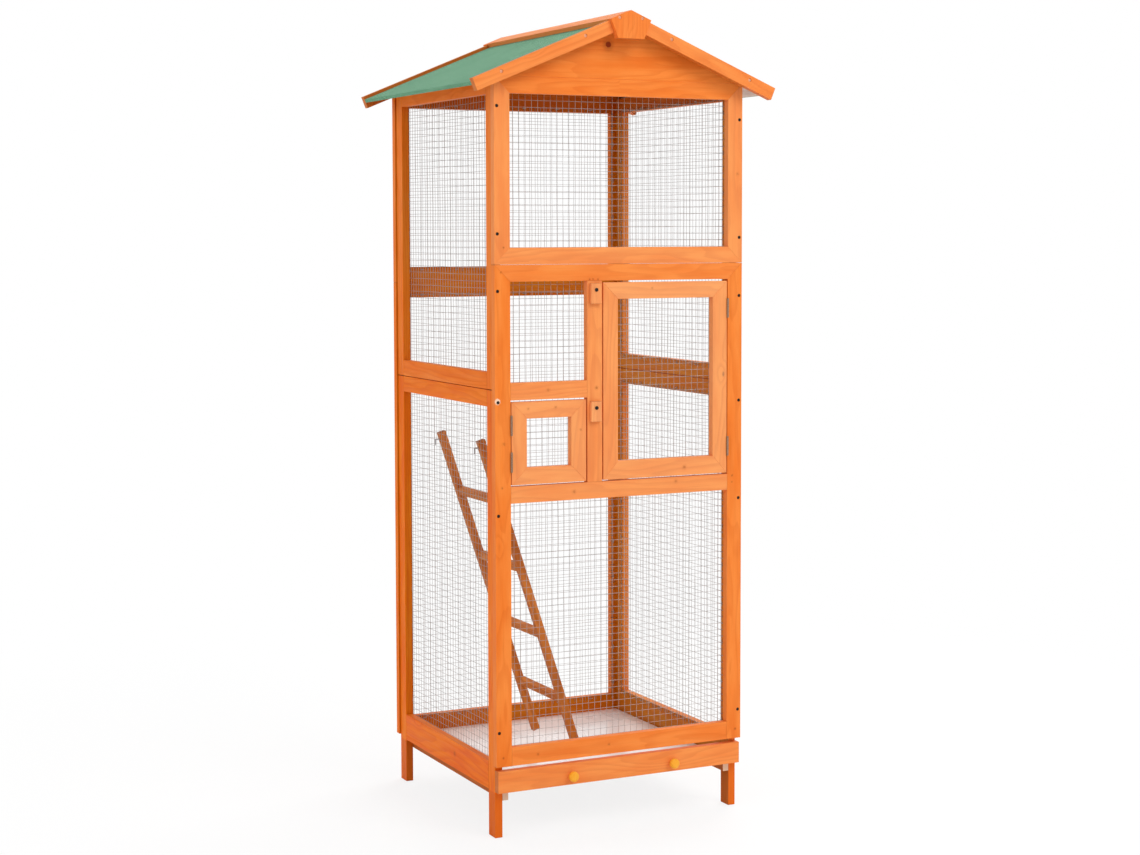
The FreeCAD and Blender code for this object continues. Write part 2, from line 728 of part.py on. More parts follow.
def net_sheet(name, window, base, normal, gaps=()):
    # A sheet that laps the timbers round its window, with the given square gaps in it.
    low_u, high_u, low_v, high_v = window
    lap = number("net_overlap")
    wires = [ring(low_u - lap, high_u + lap, low_v - lap, high_v + lap)]
    for u_low, u_high, v_low, v_high in gaps:
        # a gap runs the other way round than the sheet's edge
        wires.append(ring(u_high, u_low, v_low, v_high))
    sheet_face = Part.Face(wires)
    piece = doc.addObject("Part::Feature", name)
    piece.Shape = sheet_face.extrude(Vector(0, 0, number("net_thickness")))
    if normal == "y":
        turn = Rotation(Vector(1, 0, 0), Vector(0, 0, 1), Vector(0, -1, 0), "XYZ")
        piece.Placement = Placement(Vector(0, base, 0), turn)
    else:
        turn = Rotation(Vector(0, 1, 0), Vector(0, 0, 1), Vector(1, 0, 0), "XYZ")
        piece.Placement = Placement(Vector(base, 0, 0), turn)
    print(name, "gaps", len(gaps), "volume", round(piece.Shape.Volume, 1))
    return node(piece, name)


def net(name, window, base, normal, gap_wires):
    # A net with one square gap for every few real meshes.
    # Each wire left in it is as wide as all the real wires that it stands for.
    low_u, high_u, low_v, high_v = window
    pitch = number("net_pitch") * gap_wires
    wire = number("net_wire") * gap_wires
    gaps = []
    for u_low, u_high in marks(low_u, high_u, pitch, wire):
        for v_low, v_high in marks(low_v, high_v, pitch, wire):
            gaps.append((u_low, u_high, v_low, v_high))
    return net_sheet(name, window, base, normal, gaps)


def hook_gaps():
    # The two meshes that the ladder's hooks go through, each resting on the wire below it.
    opening = number("net_pitch") - number("net_wire")
    gaps = []
    for word in ("front", "rear"):
        arm = span(f"{word}_hook_arm")
        middle = (arm.YMin + arm.YMax) / 2
        gaps.append((middle - opening / 2, middle + opening / 2, arm.ZMin, arm.ZMin + opening))
    return gaps


def nets():
    # Every net lies on the inner faces of the timbers around its window.
    # The nets at the front and in the doors are drawn with gaps, those at the sides and back as sheets.
    thick = number("net_thickness")
    front = span("front_mid_rail").YMax + thick
    back = span("back_top_rail").YMin
    left_edge = span("front_lower_left_stile").XMax
    right_edge = span("front_lower_right_stile").XMin
    upper = (left_edge, right_edge, span("front_upper_bottom_rail").ZMax, span("front_upper_top_rail").ZMin)
    net("front_upper_net", upper, front, "y", 2)
    divider_edge = span("door_divider").XMin
    top = span("front_lower_top_rail").ZMin
    net("front_window_net", (left_edge, divider_edge, span("small_door_lintel").ZMax, top), front, "y", 1)
    lower = (left_edge, right_edge, span("front_bottom_rail").ZMax, span("front_mid_rail").ZMin)
    net("front_lower_net", lower, front, "y", 3)
    for word, gap_wires in (("large_door", 2), ("small_door", 1)):
        window = (span(f"{word}_left_stile").XMax, span(f"{word}_right_stile").XMin,
                  span(f"{word}_foot_rail").ZMax, span(f"{word}_top_rail").ZMin)
        net(f"{word}_net", window, front, "y", gap_wires)
    across = (span("back_lower_left_stile").XMax, span("back_lower_right_stile").XMin)
    net_sheet("back_lower_net", (*across, span("back_base_rail").ZMax, span("back_lower_top_rail").ZMin),
              back, "y")
    net_sheet("back_upper_net", (*across, span("back_upper_foot_rail").ZMax, span("back_top_rail").ZMin),
              back, "y")
    for word in ("left", "right"):
        base = span("left_front_leg").XMax if word == "left" else span("right_front_leg").XMin - thick
        deep = (span(f"{word}_front_leg").YMax, span(f"{word}_rear_leg").YMin)
        net_sheet(f"{word}_lower_net", (*deep, span(f"{word}_base_rail").ZMax,
                                        span(f"{word}_lower_top_rail").ZMin),
                  base, "x", hook_gaps() if word == "left" else ())
        net_sheet(f"{word}_upper_net", (*deep, span(f"{word}_upper_foot_rail").ZMax,
                                        span(f"{word}_top_rail").ZMin), base, "x")


def check():
    # Stops on any object that failed, and on a sub-part with an empty or broken shape.
    for item in doc.Objects:
        if "Invalid" in item.State or "Error" in item.State:
            raise RuntimeError(f"{item.Name} failed: {item.State}")
    for item in nodes:
        if item.Shape.isNull() or not item.Shape.isValid() or not item.Shape.Solids:
            raise RuntimeError(f"{item.Label} has no valid shape")


def save():
    os.makedirs("parts", exist_ok=True)
    for item in nodes:
        item.Shape.exportStep(f"parts/{item.Label}.step")
    whole = FreeCAD.BoundBox()
    for item in nodes:
        whole.add(item.Shape.BoundBox)
    print("nodes", len(nodes), "solids", sum(len(item.Shape.Solids) for item in nodes))
    print("box", whole)


front_panels()
gable_boards()
side_frames()
back_frames()
door("large_door", ("large_door_left", "large_door_right"), "large_door_top", "large_door_sill_width")
door("small_door", ("small_door_left", "small_door_right"), "small_door_top", "door_stile_width")
hinges()
turn_buttons()
drawer()
ladder()
roof()
roof_trim()
doc.recompute()
nets()
doc.recompute()
check()
save()
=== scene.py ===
import json
import math
import random

import bmesh
import bpy
from mathutils import Matrix, Vector, noise

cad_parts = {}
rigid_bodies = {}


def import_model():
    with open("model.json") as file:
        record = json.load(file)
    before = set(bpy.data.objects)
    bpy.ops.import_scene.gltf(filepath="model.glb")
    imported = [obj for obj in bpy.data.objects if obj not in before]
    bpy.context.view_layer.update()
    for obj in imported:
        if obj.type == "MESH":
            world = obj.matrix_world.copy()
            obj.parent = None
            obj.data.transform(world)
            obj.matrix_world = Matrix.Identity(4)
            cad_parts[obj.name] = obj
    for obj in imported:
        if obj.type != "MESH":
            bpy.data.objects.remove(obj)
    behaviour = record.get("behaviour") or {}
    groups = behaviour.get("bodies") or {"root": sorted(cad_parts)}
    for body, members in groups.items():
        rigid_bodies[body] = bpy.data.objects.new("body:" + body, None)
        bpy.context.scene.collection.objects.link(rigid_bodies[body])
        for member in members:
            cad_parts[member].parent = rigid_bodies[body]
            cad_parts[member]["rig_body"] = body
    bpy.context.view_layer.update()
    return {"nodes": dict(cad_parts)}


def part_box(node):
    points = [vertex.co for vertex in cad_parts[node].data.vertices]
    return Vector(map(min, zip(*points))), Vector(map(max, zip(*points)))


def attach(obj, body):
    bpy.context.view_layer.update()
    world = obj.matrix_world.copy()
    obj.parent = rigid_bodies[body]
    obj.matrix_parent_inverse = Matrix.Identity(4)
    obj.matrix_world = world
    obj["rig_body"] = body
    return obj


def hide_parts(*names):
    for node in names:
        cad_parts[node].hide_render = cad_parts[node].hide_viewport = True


# Looks for the tall bird cage: stained timbers, welded net, felted roof, hardware, ladder and tray.
# Everything is in metres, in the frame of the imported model.

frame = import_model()
scene = bpy.context.scene
print("frame loaded:", len(frame["nodes"]), "nodes")


# Camera

cameraLook = {
    "place": (-1.91765, -3.95149, 1.20556),
    "turn": 26.084,         # degrees from straight ahead towards the right
    "tilt": 3.786,          # degrees down
    "roll": 0.121,
    "lens": 64.858,
    "sensor": 36,
    "shift": -0.05,
    "near": 0.05,
    "far": 60,
}


def placeCamera(look):
    data = bpy.data.cameras.new("studioCamera")
    data.lens = look["lens"]
    data.sensor_width = look["sensor"]
    data.shift_y = look["shift"]
    data.clip_start = look["near"]
    data.clip_end = look["far"]
    camera = bpy.data.objects.new("studioCamera", data)
    scene.collection.objects.link(camera)
    turn = Matrix.Rotation(math.radians(-look["turn"]), 4, "Z")
    tilt = Matrix.Rotation(math.radians(90 - look["tilt"]), 4, "X")
    roll = Matrix.Rotation(math.radians(-look["roll"]), 4, "Z")
    camera.matrix_world = Matrix.Translation(look["place"]) @ turn @ tilt @ roll
    scene.camera = camera


placeCamera(cameraLook)
scene.view_settings.view_transform = "Standard"
print("camera placed")


# Small helpers for node trees


def paint(red, green, blue):
    # A colour picked on a screen, from 0 to 255, as the shader wants it
    def plain(value):
        value /= 255
        return value / 12.92 if value <= 0.04045 else ((value + 0.055) / 1.055) ** 2.4
    return plain(red), plain(green), plain(blue), 1


def newMaterial(name):
    material = bpy.data.materials.new(name)
    material.use_nodes = True
    material.node_tree.nodes.clear()
    return material, material.node_tree


def addNode(tree, kind, inputs=None, **settings):
    made = tree.nodes.new("ShaderNode" + kind)
    for word, value in settings.items():
        setattr(made, word, value)
    for key, value in (inputs or {}).items():
        if isinstance(value, bpy.types.NodeSocket):
            tree.links.new(value, made.inputs[key])
        else:
            made.inputs[key].default_value = value
    return made


def sums(tree, operation, first, second=0.0):
    return addNode(tree, "Math", {0: first, 1: second}, operation=operation).outputs[0]


def between(tree, value, low, high, toLow=0.0, toHigh=1.0):
    # A smooth step from one value to another
    made = addNode(tree, "MapRange", {"Value": value, "From Min": low, "From Max": high,
                                      "To Min": toLow, "To Max": toHigh},
                   interpolation_type="SMOOTHSTEP")
    return made.outputs[0]


def stretched(tree, vector, scale):
    return addNode(tree, "Mapping", {"Vector": vector, "Scale": scale}).outputs[0]


def cloud(tree, vector, scale, detail=3.0, rough=0.5):
    made = addNode(tree, "TexNoise", {"Vector": vector, "Scale": scale, "Detail": detail,
                                      "Roughness": rough})
    return made.outputs["Fac"]


def blended(tree, share, first, second, way="MIX"):
    # Sockets 0, 6, 7 and 2 are the share, both colours and the outcome of a colour mix
    made = addNode(tree, "Mix", {0: share, 6: first, 7: second}, data_type="RGBA", blend_type=way)
    return made.outputs[2]


def surface(tree, colour, rough, height=None, depth=0.0005, **plain):
    shader = addNode(tree, "BsdfPrincipled", {"Base Color": colour, "Roughness": rough})
    for word, value in plain.items():
        shader.inputs[word.replace("_", " ")].default_value = value
    if height is not None:
        bump = addNode(tree, "Bump", {"Height": height, "Distance": depth, "Strength": 1.0})
        tree.links.new(bump.outputs[0], shader.inputs["Normal"])
    addNode(tree, "OutputMaterial", {0: shader.outputs[0]})


def objectPlace(tree):
    return addNode(tree, "TexCoord").outputs["Object"]


# Wood: each board carries its own grain, so the rings run along it whatever way it lies

woodLooks = {
    "stainedWood": {
        "pale": (247, 142, 62), "middle": (241, 125, 44), "late": (216, 96, 24),
        "dark": (146, 52, 10), "end": (140, 66, 18), "ringGap": 0.0052, "ringShow": 0.27,
        "fibreShow": 0.16, "rough": 0.5, "endShow": 0.42,
    },
    "darkWood": {
        "pale": (208, 122, 48), "middle": (188, 100, 32), "late": (150, 72, 18),
        "dark": (70, 30, 10), "end": (96, 48, 16), "ringGap": 0.0045, "ringShow": 0.45,
        "fibreShow": 0.2, "rough": 0.56, "endShow": 0.5,
    },
    # stained along its sides, with bare sawn ends
    "runnerWood": {
        "pale": (206, 112, 44), "middle": (186, 92, 30), "late": (150, 66, 18),
        "dark": (84, 38, 12), "end": (226, 196, 168), "ringGap": 0.004, "ringShow": 0.4,
        "fibreShow": 0.2, "rough": 0.62, "endShow": 0.92,
    },
    "knobWood": {
        "pale": (255, 190, 68), "middle": (252, 168, 40), "late": (236, 138, 22),
        "dark": (150, 86, 16), "end": (226, 138, 24), "ringGap": 0.0028, "ringShow": 0.3,
        "fibreShow": 0.14, "rough": 0.36, "endShow": 0.1,
    },
}

# What a paler board adds to the colour, and what the faces inside the cage keep of it: a painted shade
# for the shade inside the cage
toneTint = (0.012, 0.085, 0.062)
innerShade = (0.66, 0.76, 0.32, 1)

# How much of the inner faces' shade the faces round a net's opening have, and how far in front of
# a face its own board has to go on for that
revealShare = 0.6
revealReach = 0.01

# Painted shade under the roof: above this height the inner faces are darkened still more
underRoofShade = {
    "from": 1.46,
    "to": 1.49,
    "share": (0.82, 0.58, 0.6, 1),
}

# The feet stood deeper in the stain, up to this height
footStain = {
    "full": 0.088,
    "none": 0.094,
    "late": 0.7,
    "toned": 0.2,
    "least": -0.15,         # no darker tone than this at the feet
}

# Knots and stains where the photograph shows them: middle, radius, darkness
frontKnots = [
    ((-0.030, -0.273, 1.584), 0.0105, 1.0),
    ((0.060, -0.273, 1.222), 0.0035, 0.35),
    ((-0.2615, -0.273, 1.180), 0.0024, 0.6),
    ((-0.267, -0.273, 1.132), 0.0026, 0.5),
    ((-0.0725, -0.273, 1.1165), 0.0022, 0.6),
    ((-0.065, -0.273, 1.1165), 0.0022, 0.55),
    ((-0.054, -0.273, 1.1165), 0.0024, 0.6),
    ((0.070, -0.273, 1.097), 0.0030, 0.3),
    ((-0.0575, -0.273, 0.898), 0.0042, 0.5),
    ((-0.165, -0.273, 0.897), 0.0046, 0.3),
    ((-0.209, -0.273, 0.861), 0.0036, 0.35),
    ((-0.149, -0.273, 0.862), 0.0036, 0.4),
    ((-0.093, -0.273, 0.815), 0.0030, 0.4),
    ((0.145, -0.273, 0.727), 0.0050, 0.45),
    ((-0.108, -0.273, 0.690), 0.0048, 0.4),
    ((0.125, -0.273, 0.699), 0.0046, 0.4),
    ((0.259, -0.273, 0.7035), 0.0028, 0.55),
    ((0.259, -0.273, 0.690), 0.0022, 0.5),
    ((-0.2665, -0.273, 0.706), 0.0028, 0.5),
    ((-0.262, -0.273, 0.793), 0.0045, 0.3),
    ((-0.190, -0.273, 0.165), 0.0038, 0.4),
    ((-0.030, -0.273, 0.167), 0.0034, 0.4),
    ((-0.266, -0.273, 0.165), 0.0030, 0.6),
    ((0.268, -0.273, 0.1665), 0.0030, 0.7),
    ((0.270, -0.273, 1.330), 0.0044, 0.3),
    ((-0.2775, -0.214, 0.792), 0.0048, 0.5),
    ((-0.2775, -0.05, 0.125), 0.0075, 0.35),
]

# Where a screw tore the stained skin off the left stile: middle and radius
tornPatch = ((-0.2757, -0.273, 0.8775), 0.0096)


def knotMarks(tree, marks, haloShare=0.4):
    # Dark middles and wider rings round given places
    place = objectPlace(tree)
    rough = addNode(tree, "TexNoise", {"Vector": place, "Scale": 260.0, "Detail": 2.0})
    wobble = addNode(tree, "VectorMath", {0: rough.outputs["Color"], 1: (0.5, 0.5, 0.5)},
                     operation="SUBTRACT")
    spread = addNode(tree, "VectorMath", {0: wobble.outputs[0], "Scale": 0.004}, operation="SCALE")
    bent = addNode(tree, "VectorMath", {0: place, 1: spread.outputs[0]}, operation="ADD").outputs[0]
    total = None
    for middle, radius, darkness in marks:
        away = addNode(tree, "VectorMath", {0: bent, 1: middle}, operation="DISTANCE").outputs["Value"]
        halo = between(tree, away, radius * 0.3, radius * 1.7, darkness * haloShare, 0.0)
        core = between(tree, away, radius * 0.45, radius * 0.75, darkness, 0.0)
        mark = sums(tree, "MAXIMUM", halo, core)
        total = mark if total is None else sums(tree, "MAXIMUM", total, mark)
    return total


def smallKnots(tree, grain):
    # Knots in a few cells of the timber, and how far the rings bend round them
    cells = addNode(tree, "TexVoronoi", {"Vector": stretched(tree, grain, (13, 25, 25)), "Scale": 1.0,
                                         "Randomness": 1.0})
    away = cells.outputs["Distance"]
    chosen = addNode(tree, "SeparateColor", {0: cells.outputs["Color"]}).outputs[0]
    picked = between(tree, chosen, 0.84, 0.86)
    knot = sums(tree, "ADD", between(tree, away, 0.03, 0.13, 0.5, 0.0),
                between(tree, away, 0.045, 0.065, 0.5, 0.0))
    knot = sums(tree, "MULTIPLY", knot, picked)
    swirl = sums(tree, "MULTIPLY", between(tree, away, 0.0, 0.5, 1.6, 0.0), picked)
    return knot, swirl


def yearRings(tree, grain, ringGap, swirl):
    # The dark late wood of rings round a heart outside the board, bent along its length
    bend = cloud(tree, stretched(tree, grain, (2.2, 13, 13)), 1.0, 2.0)
    small = cloud(tree, stretched(tree, grain, (9, 70, 70)), 1.0, 2.0)
    across = addNode(tree, "SeparateXYZ", {0: grain})
    reach = sums(tree, "SQRT", sums(tree, "ADD",
                 sums(tree, "MULTIPLY", across.outputs[1], across.outputs[1]),
                 sums(tree, "MULTIPLY", across.outputs[2], across.outputs[2])))
    rings = sums(tree, "DIVIDE", reach, ringGap)
    rings = sums(tree, "ADD", rings, sums(tree, "MULTIPLY", bend, 9.0))
    rings = sums(tree, "ADD", rings, sums(tree, "MULTIPLY", small, 0.7))
    rings = sums(tree, "ADD", rings, swirl)
    phase = sums(tree, "FRACT", rings)
    return sums(tree, "MULTIPLY", between(tree, phase, 0.3, 0.86),
                between(tree, phase, 0.9, 1.0, 1.0, 0.0))


def boardEdges(tree):
    # How far each point is from the end of its board and from its nearest long edge
    place = addNode(tree, "Attribute", attribute_name="place").outputs["Vector"]
    size = addNode(tree, "Attribute", attribute_name="halfSize").outputs["Vector"]
    gap = addNode(tree, "VectorMath", {0: place}, operation="ABSOLUTE").outputs[0]
    gap = addNode(tree, "VectorMath", {0: size, 1: gap}, operation="SUBTRACT").outputs[0]
    x, y, z = addNode(tree, "SeparateXYZ", {0: gap}).outputs
    least = sums(tree, "MINIMUM", sums(tree, "MINIMUM", x, y), z)
    most = sums(tree, "MAXIMUM", sums(tree, "MAXIMUM", x, y), z)
    total = sums(tree, "ADD", sums(tree, "ADD", x, y), z)
    return x, sums(tree, "SUBTRACT", sums(tree, "SUBTRACT", total, least), most)


def woodMaterial(name, knots=()):
    look = woodLooks[name]
    pale, middle, late, dark = (paint(*look[word]) for word in ("pale", "middle", "late", "dark"))
    material, tree = newMaterial(name)
    grain = addNode(tree, "Attribute", attribute_name="grain").outputs["Vector"]
    tone = addNode(tree, "Attribute", attribute_name="tone").outputs["Fac"]
    inside = addNode(tree, "Attribute", attribute_name="inside").outputs["Fac"]
    knot, swirl = smallKnots(tree, grain)
    lateWood = yearRings(tree, grain, look["ringGap"], swirl)

    # long fine fibres and slow patches where the stain took differently
    fibres = cloud(tree, stretched(tree, grain, (14, 900, 900)), 1.0, 3.0, 0.6)
    streaks = cloud(tree, stretched(tree, grain, (5, 160, 160)), 1.0, 3.0, 0.6)
    patches = cloud(tree, stretched(tree, grain, (6, 34, 34)), 1.0, 3.0, 0.55)

    ringShade = sums(tree, "MULTIPLY", lateWood, look["ringShow"])
    colour = blended(tree, between(tree, patches, 0.3, 0.7), middle, pale)
    colour = blended(tree, ringShade, colour, late)
    fibreShade = sums(tree, "MULTIPLY", between(tree, fibres, 0.42, 0.75), look["fibreShow"])
    colour = blended(tree, fibreShade, colour, late)
    streakShade = sums(tree, "MULTIPLY", between(tree, streaks, 0.56, 0.8), 0.34)
    colour = blended(tree, streakShade, colour, late)
    colour = blended(tree, sums(tree, "MULTIPLY", knot, 0.6), colour, dark)

    # the edges are rubbed pale
    toEnd, toEdge = boardEdges(tree)
    rubbed = sums(tree, "ADD", toEdge, sums(tree, "MULTIPLY", fibres, 0.0012))
    edge = between(tree, rubbed, 0.0006, 0.0022, 1.0, 0.0)
    colour = blended(tree, sums(tree, "MULTIPLY", edge, 0.22), colour, pale)

    # each board took the stain a little differently, and the feet stood in it
    height = addNode(tree, "SeparateXYZ", {0: objectPlace(tree)}).outputs[2]
    foot = between(tree, height, footStain["full"], footStain["none"],
                   1.0 if name == "stainedWood" else 0.0, 0.0)
    colour = blended(tree, sums(tree, "MULTIPLY", foot, footStain["late"]), colour, late)
    toned = sums(tree, "SUBTRACT", tone, sums(tree, "MULTIPLY", foot, footStain["toned"]))
    least = sums(tree, "SUBTRACT", sums(tree, "MULTIPLY", foot, 1 + footStain["least"]), 1.0)
    tint = sums(tree, "MAXIMUM", toned, least)
    tint = addNode(tree, "VectorMath", {0: toneTint, "Scale": tint}, operation="SCALE").outputs[0]
    colour = addNode(tree, "VectorMath", {0: colour, 1: tint}, operation="ADD").outputs[0]
    colour = addNode(tree, "VectorMath", {0: colour, 1: (0.004, 0.003, 0.002)},
                     operation="MAXIMUM").outputs[0]
    # painted shade on the faces that look into the cage and on those round its openings
    colour = blended(tree, inside, colour, innerShade, "MULTIPLY")
    # painted shade under the roof on the inner faces
    upper = between(tree, height, underRoofShade["from"], underRoofShade["to"])
    colour = blended(tree, sums(tree, "MULTIPLY", inside, upper), colour, underRoofShade["share"],
                     "MULTIPLY")

    # end grain drinks more stain
    end = sums(tree, "MULTIPLY", between(tree, toEnd, 0.0002, 0.0011, 1.0, 0.0), look["endShow"])
    colour = blended(tree, end, colour, paint(*look["end"]))

    if knots:
        mark = knotMarks(tree, knots)
        colour = blended(tree, mark, colour, dark)
        torn = knotMarks(tree, [(*tornPatch, 0.85)], 0.0)
        colour = blended(tree, torn, colour, paint(250, 222, 196))
    rough = between(tree, streaks, 0.2, 0.8, look["rough"] - 0.08, look["rough"] + 0.1)
    relief = sums(tree, "ADD", sums(tree, "MULTIPLY", fibres, 0.55),
                  sums(tree, "MULTIPLY", lateWood, 0.45))
    surface(tree, colour, rough, relief, 0.00022, Specular_IOR_Level=0.12)
    return material


def wireMaterial():
    material, tree = newMaterial("netWire")
    place = objectPlace(tree)
    spangle = cloud(tree, place, 420.0, 2.0)
    dull = cloud(tree, place, 22.0, 3.0)
    colour = blended(tree, between(tree, spangle, 0.35, 0.7), paint(160, 153, 150), paint(186, 179, 176))
    colour = blended(tree, sums(tree, "MULTIPLY", between(tree, dull, 0.5, 0.75), 0.5), colour,
                     paint(128, 122, 119))
    rough = between(tree, spangle, 0.3, 0.7, 0.42, 0.6)
    surface(tree, colour, rough, spangle, 0.00008, Metallic=0.3)
    return material


def metalMaterial(name, pale, dull, metallic, rough, scale=900.0):
    material, tree = newMaterial(name)
    place = objectPlace(tree)
    specks = cloud(tree, place, scale, 3.0, 0.6)
    smears = cloud(tree, stretched(tree, place, (60, 60, 14)), 1.0, 3.0)
    colour = blended(tree, between(tree, specks, 0.3, 0.7), paint(*dull), paint(*pale))
    colour = blended(tree, sums(tree, "MULTIPLY", between(tree, smears, 0.45, 0.7), 0.5), colour,
                     paint(*dull))
    surface(tree, colour, between(tree, smears, 0.3, 0.7, rough - 0.08, rough + 0.12), specks, 0.00005,
            Metallic=metallic)
    return material


def feltMaterial():
    material, tree = newMaterial("mineralFelt")
    place = objectPlace(tree)
    grit = addNode(tree, "TexVoronoi", {"Vector": place, "Scale": 950.0, "Randomness": 1.0})
    grain = addNode(tree, "SeparateColor", {0: grit.outputs["Color"]}).outputs[0]
    bare = cloud(tree, place, 9.0, 4.0, 0.6)
    fine = cloud(tree, place, 420.0, 2.0)
    colour = blended(tree, between(tree, grain, 0.0, 1.0), paint(86, 138, 108), paint(122, 176, 141))
    colour = blended(tree, sums(tree, "MULTIPLY", between(tree, grain, 0.86, 0.97), 0.5), colour,
                     paint(190, 204, 186))
    colour = blended(tree, sums(tree, "MULTIPLY", between(tree, bare, 0.45, 0.72), 0.35), colour,
                     paint(79, 134, 104))
    height = sums(tree, "ADD", sums(tree, "MULTIPLY", grit.outputs["Distance"], -0.8), fine)
    surface(tree, colour, 0.93, height, 0.00035, Specular_IOR_Level=0.2)
    return material


def roofBoardMaterial():
    # The pale underside of the roof boards, a thin ply with stretched veneer marks
    material, tree = newMaterial("roofPly")
    place = objectPlace(tree)
    veneer = cloud(tree, stretched(tree, place, (46, 3.2, 46)), 1.0, 4.0, 0.62)
    fibres = cloud(tree, stretched(tree, place, (700, 12, 700)), 1.0, 3.0, 0.6)
    colour = blended(tree, between(tree, veneer, 0.32, 0.68), paint(168, 160, 152), paint(214, 206, 196))
    colour = blended(tree, sums(tree, "MULTIPLY", between(tree, fibres, 0.45, 0.75), 0.3), colour,
                     paint(140, 128, 116))
    surface(tree, colour, 0.7, fibres, 0.0002, Specular_IOR_Level=0.3)
    return material


def trayMaterial():
    material, tree = newMaterial("traySheet")
    place = objectPlace(tree)
    smear = cloud(tree, stretched(tree, place, (9, 3, 3)), 1.0, 4.0, 0.6)
    fine = cloud(tree, place, 260.0, 3.0, 0.6)
    colour = blended(tree, between(tree, smear, 0.35, 0.7), paint(252, 246, 244), paint(246, 238, 235))
    colour = blended(tree, sums(tree, "MULTIPLY", between(tree, fine, 0.5, 0.8), 0.18), colour,
                     paint(214, 202, 198))
    surface(tree, colour, between(tree, smear, 0.3, 0.7, 0.24, 0.34), fine, 0.00004,
            Specular_IOR_Level=0.5, Coat_Weight=0.5, Coat_Roughness=0.12)
    return material


stainedWood = woodMaterial("stainedWood", frontKnots)
darkWood = woodMaterial("darkWood")
runnerWood = woodMaterial("runnerWood")
knobWood = woodMaterial("knobWood")
netWire = wireMaterial()
zincSteel = metalMaterial("zincSteel", (196, 196, 198), (138, 138, 140), 0.85, 0.38)
hingeSteel = metalMaterial("hingeSteel", (182, 154, 130), (122, 96, 74), 0.6, 0.5)
screwSteel = metalMaterial("screwSteel", (58, 52, 48), (26, 22, 20), 0.6, 0.5)
paleScrewSteel = metalMaterial("paleScrewSteel", (252, 190, 152), (224, 150, 110), 0.2, 0.42)
mineralFelt = feltMaterial()
roofPly = roofBoardMaterial()
traySheet = trayMaterial()
print("materials made:", len(bpy.data.materials))


# Boards


def wholeOf(shape):
    return shape.verts[:] + shape.edges[:] + shape.faces[:]


def pointsOf(made):
    return [item for item in made if isinstance(item, bmesh.types.BMVert)]


def edgesOf(made):
    return [item for item in made if isinstance(item, bmesh.types.BMEdge)]


def joined(shape, part):
    # Adds one shape to another and lets go of it
    carried = bpy.data.meshes.new("carried")
    part.to_mesh(carried)
    part.free()
    shape.from_mesh(carried)
    bpy.data.meshes.remove(carried)


def keepPacked(node, material):
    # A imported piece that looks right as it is
    materials = frame["nodes"][node].data.materials
    materials.clear()
    materials.append(material)


def plank(shape, low, high):
    # A straight board between two corners
    size = [b - a for a, b in zip(low, high)]
    middle = [(a + b) / 2 for a, b in zip(low, high)]
    place = Matrix.Translation(middle) @ Matrix.Diagonal((*size, 1))
    return bmesh.ops.create_cube(shape, size=1, matrix=place)["verts"]


def shapeOf(*nodes):
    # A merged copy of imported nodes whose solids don't touch one another
    shape = bmesh.new()
    for node in nodes:
        shape.from_mesh(frame["nodes"][node].data)
    bmesh.ops.remove_doubles(shape, verts=shape.verts, dist=2e-6)
    bmesh.ops.dissolve_limit(shape, angle_limit=math.radians(1), verts=shape.verts, edges=shape.edges)
    return shape


def softened(shape, width):
    # Rounds every edge that bends by more than 28 degrees
    sharp = [edge for edge in shape.edges
             if len(edge.link_faces) == 2 and edge.calc_face_angle() > math.radians(28)]
    bmesh.ops.bevel(shape, geom=sharp, offset=width, offset_type="OFFSET", segments=2,
                    profile=0.5, affect="EDGES", clamp_overlap=True, material=-1)


def separateBoards(shape):
    # The groups of points that hang together, one for each board
    shape.verts.ensure_lookup_table()
    left = set(shape.verts)
    groups = []
    while left:
        start = min(left, key=lambda point: point.index)
        group = {start}
        front = [start]
        while front:
            point = front.pop()
            for edge in point.link_edges:
                other = edge.other_vert(point)
                if other not in group:
                    group.add(other)
                    front.append(other)
        left -= group
        groups.append(group)
    return groups


def grainMarks(shape, seed, toned=0.0, inward=None, lean=0.0, roofSlope=0.0, along=None):
    # Writes each board's grain, its points' places from its middle, its half size, its tone, and
    # how far each face looks to the inside of the cage, the mask of its painted inner shade
    if inward:
        shape.normal_update()
        inside = shape.faces.layers.float.new("inside")
        spread = [[point.co[axis] for point in shape.verts] for axis in range(3)]
        for face in shape.faces:
            ahead = face.calc_center_median() + face.normal * revealReach
            framed = all(min(line) < value < max(line) for line, value in zip(spread, ahead))
            face[inside] = max(revealShare if framed else 0.0, face.normal.dot(Vector(inward)))
    chance = random.Random(seed)
    layers = shape.verts.layers
    grain = layers.float_vector.new("grain")
    place = layers.float_vector.new("place")
    halfSize = layers.float_vector.new("halfSize")
    tone = layers.float.new("tone")
    shape.verts.index_update()
    for group in separateBoards(shape):
        middleX = sum(point.co.x for point in group) / len(group)
        angle = lean + math.copysign(roofSlope, middleX)
        turn = Matrix.Rotation(-angle, 3, "Y")
        local = {point: turn @ point.co for point in group}
        low = [min(co[axis] for co in local.values()) for axis in range(3)]
        high = [max(co[axis] for co in local.values()) for axis in range(3)]
        size = [b - a for a, b in zip(low, high)]
        order = sorted(range(3), key=lambda axis: -size[axis])
        if along is not None:
            order = [along] + [axis for axis in order if axis != along]
        heart = Vector((chance.uniform(-4, 4), chance.uniform(-0.03, 0.03), chance.uniform(0.03, 0.11)))
        flip = chance.choice((-1, 1))
        shade = toned + 0.06 + chance.uniform(-0.12, 0.12)
        for point, co in local.items():
            here = Vector([co[axis] - (low[axis] + high[axis]) / 2 for axis in order])
            point[place] = here
            point[grain] = Vector((here.x, here.y, here.z * flip)) + heart
            point[halfSize] = Vector([size[axis] / 2 for axis in order])
            point[tone] = shade


